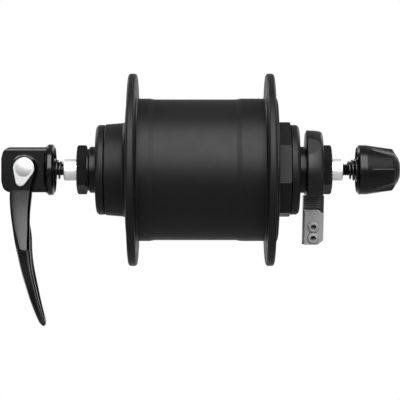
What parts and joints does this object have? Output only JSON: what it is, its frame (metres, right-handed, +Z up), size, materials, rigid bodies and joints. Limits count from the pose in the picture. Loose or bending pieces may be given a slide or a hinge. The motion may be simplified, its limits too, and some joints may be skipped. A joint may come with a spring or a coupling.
{
  "type": "bicycle hub dynamo",
  "caption": "Front wheel hub with a built-in claw-pole generator, spoke flanges, pull-off lamp plug and a quick-release skewer with cam lever.",
  "frame": {"origin": "on the axle's line, midway between the outer faces of the locknuts", "axes": "+X along the axle towards the connector side, -Y towards the viewer of the picture, +Z up"},
  "size_m": [0.1564, 0.0758, 0.0994],
  "materials": {
    "bright_steel": "bright turned",
    "black_steel": "black satin",
    "clamp_steel": "blackened",
    "core_steel": "matt",
    "bearing_steel": "polished",
    "natural_plastic": "moulded",
    "copper": "enamelled wire",
    "red_insulation": "extruded",
    "black_plastic": "fine grain",
    "contact_brass": "plain",
    "grey_plastic": "moulded",
    "black_alloy": "black satin anodised",
    "black_gloss": "black gloss",
    "rubber": "plain",
    "magnet": "sintered",
    "silver_trim": "polished"
  },
  "bodies": {
    "axle_set": {"axle": "bright_steel", "left_locknut": "black_steel", "right_locknut": "black_steel", "left_cone": "black_steel", "right_cone": "black_steel", "right_lock_washer": "bright_steel", "stator_core": "core_steel", "claw_pole_left": "core_steel", "claw_pole_right": "core_steel", "bobbin": "natural_plastic", "coil_winding": "copper", "stator_nut": "core_steel", "lead_wire": "red_insulation", "terminal_body": "black_plastic", "terminal_blades": "contact_brass"},
    "plug": {"connector_cap": "black_plastic", "connector_cover": "grey_plastic"},
    "hub": {"hub_shell": "black_alloy", "end_cap": "black_alloy", "left_dust_cap": "black_alloy", "right_dust_cap": "black_alloy", "left_bearing_cup": "bearing_steel", "right_bearing_cup": "bearing_steel", "left_seal": "rubber", "right_seal": "rubber", "flux_ring": "core_steel", "magnet_segments": "magnet", "end_cap_seal": "rubber"},
    "left_cage": {"left_balls": "bearing_steel", "left_ball_cage": "natural_plastic"},
    "right_cage": {"right_balls": "bearing_steel", "right_ball_cage": "natural_plastic"},
    "cam_body": {"cam_housing": "black_gloss", "housing_clamp_ring": "clamp_steel", "left_spring": "black_steel"},
    "lever": {"qr_lever": "black_gloss", "cam_shaft": "bright_steel", "lever_cap": "silver_trim", "cam_nut": "black_steel"},
    "skewer": {"skewer_rod": "black_steel"},
    "nut_seat": {"right_spring": "black_steel"},
    "nut": {"qr_nut": "black_gloss", "nut_insert": "contact_brass", "nut_clamp_ring": "clamp_steel"}
  },
  "joints": [
    {"name": "hub_spin", "type": "hinge", "parent": "axle_set", "child": "hub", "pos_m": [0, 0, 0], "axis": [1, 0, 0], "continuous": true},
    {"name": "left_cage_roll", "type": "hinge", "parent": "axle_set", "child": "left_cage", "pos_m": [0, 0, 0], "axis": [1, 0, 0], "continuous": true},
    {"name": "right_cage_roll", "type": "hinge", "parent": "axle_set", "child": "right_cage", "pos_m": [0, 0, 0], "axis": [1, 0, 0], "continuous": true},
    {"name": "plug_pull", "type": "slide", "parent": "axle_set", "child": "plug", "axis": [0, 0.342, -0.9397], "range_m": [0, 0.012]},
    {"name": "skewer_turn", "type": "hinge", "parent": "axle_set", "child": "cam_body", "pos_m": [0, 0, 0], "axis": [1, 0, 0], "continuous": true},
    {"name": "lever_throw", "type": "hinge", "parent": "cam_body", "child": "lever", "pos_m": [-0.0702, 0, 0], "axis": [0, 1, 0], "range_deg": [0, 180]},
    {"name": "cam_pull", "type": "slide", "parent": "cam_body", "child": "skewer", "axis": [1, 0, 0], "range_m": [0, 0.0015]},
    {"name": "nut_travel", "type": "slide", "parent": "skewer", "child": "nut_seat", "axis": [1, 0, 0], "range_m": [-0.004, 0.0032], "deforming": ["right_spring"]},
    {"name": "nut_turn", "type": "hinge", "parent": "nut_seat", "child": "nut", "pos_m": [0, 0, 0], "axis": [1, 0, 0], "range_deg": [-1800, 1440]}
  ],
  "couplings": [
    {"joint": "left_cage_roll", "follows": "hub_spin", "ratio": 0.58},
    {"joint": "right_cage_roll", "follows": "hub_spin", "ratio": 0.58},
    {"joint": "cam_pull", "follows": "lever_throw", "m_per_rad": 0.00047746},
    {"joint": "nut_travel", "follows": "nut_turn", "m_per_rad": 0.00012732}
  ]
}
